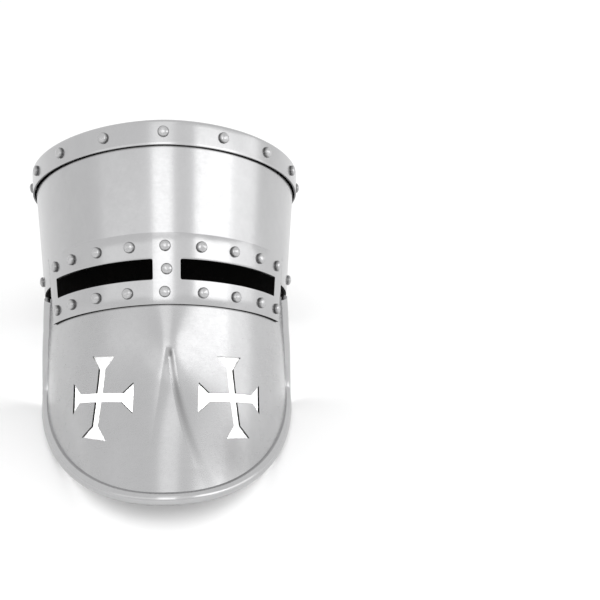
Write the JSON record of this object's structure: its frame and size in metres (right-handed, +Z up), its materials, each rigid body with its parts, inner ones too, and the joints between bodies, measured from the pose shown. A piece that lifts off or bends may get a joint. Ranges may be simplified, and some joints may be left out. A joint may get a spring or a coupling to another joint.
{
  "type": "great helm",
  "caption": "Flat-topped great helm of riveted steel sheet with a slit brow band, a keeled face plate with cross breaths and a rolled rim, resting tilted back on its edges.",
  "frame": {"origin": "on the floor under the middle of the helm's bounding box, with the rim of the face plate and the rear lower edge of the skull on the floor", "axes": "+X to the viewer's right across the face, +Y from the face to the rear, which is also the longest way through the tilted helm, +Z up from the floor"},
  "size_m": [0.2308, 0.399, 0.2443],
  "materials": {
    "sheet_steel": "satin polish with fine brushing, darker inside",
    "band_steel": "satin polish, a little brighter than the skull",
    "rivet_steel": "peened steel, worn smooth on the domes"
  },
  "bodies": {
    "root": {"skull": "sheet_steel", "crown_plate": "band_steel", "brow_band": "band_steel", "face_plate": "sheet_steel", "brow_rivet_upper_left_1": "rivet_steel", "brow_rivet_upper_left_2": "rivet_steel", "brow_rivet_upper_left_3": "rivet_steel", "brow_rivet_upper_left_4": "rivet_steel", "brow_rivet_upper_right_1": "rivet_steel", "brow_rivet_upper_right_2": "rivet_steel", "brow_rivet_upper_right_3": "rivet_steel", "brow_rivet_upper_right_4": "rivet_steel", "brow_rivet_lower_left_1": "rivet_steel", "brow_rivet_lower_left_2": "rivet_steel", "brow_rivet_lower_left_3": "rivet_steel", "brow_rivet_lower_left_4": "rivet_steel", "brow_rivet_lower_right_1": "rivet_steel", "brow_rivet_lower_right_2": "rivet_steel", "brow_rivet_lower_right_3": "rivet_steel", "brow_rivet_lower_right_4": "rivet_steel", "brow_rivet_upper_middle": "rivet_steel", "brow_rivet_lower_middle": "rivet_steel", "nasal_rivet": "rivet_steel", "side_rivet_left": "rivet_steel", "side_rivet_right": "rivet_steel", "crown_rivet_01": "rivet_steel", "crown_rivet_02": "rivet_steel", "crown_rivet_03": "rivet_steel", "crown_rivet_04": "rivet_steel", "crown_rivet_05": "rivet_steel", "crown_rivet_06": "rivet_steel", "crown_rivet_07": "rivet_steel", "crown_rivet_08": "rivet_steel", "crown_rivet_09": "rivet_steel", "crown_rivet_10": "rivet_steel", "crown_rivet_11": "rivet_steel", "crown_rivet_12": "rivet_steel", "crown_rivet_13": "rivet_steel", "crown_rivet_14": "rivet_steel", "crown_rivet_15": "rivet_steel", "crown_rivet_16": "rivet_steel"}
  },
  "joints": []
}
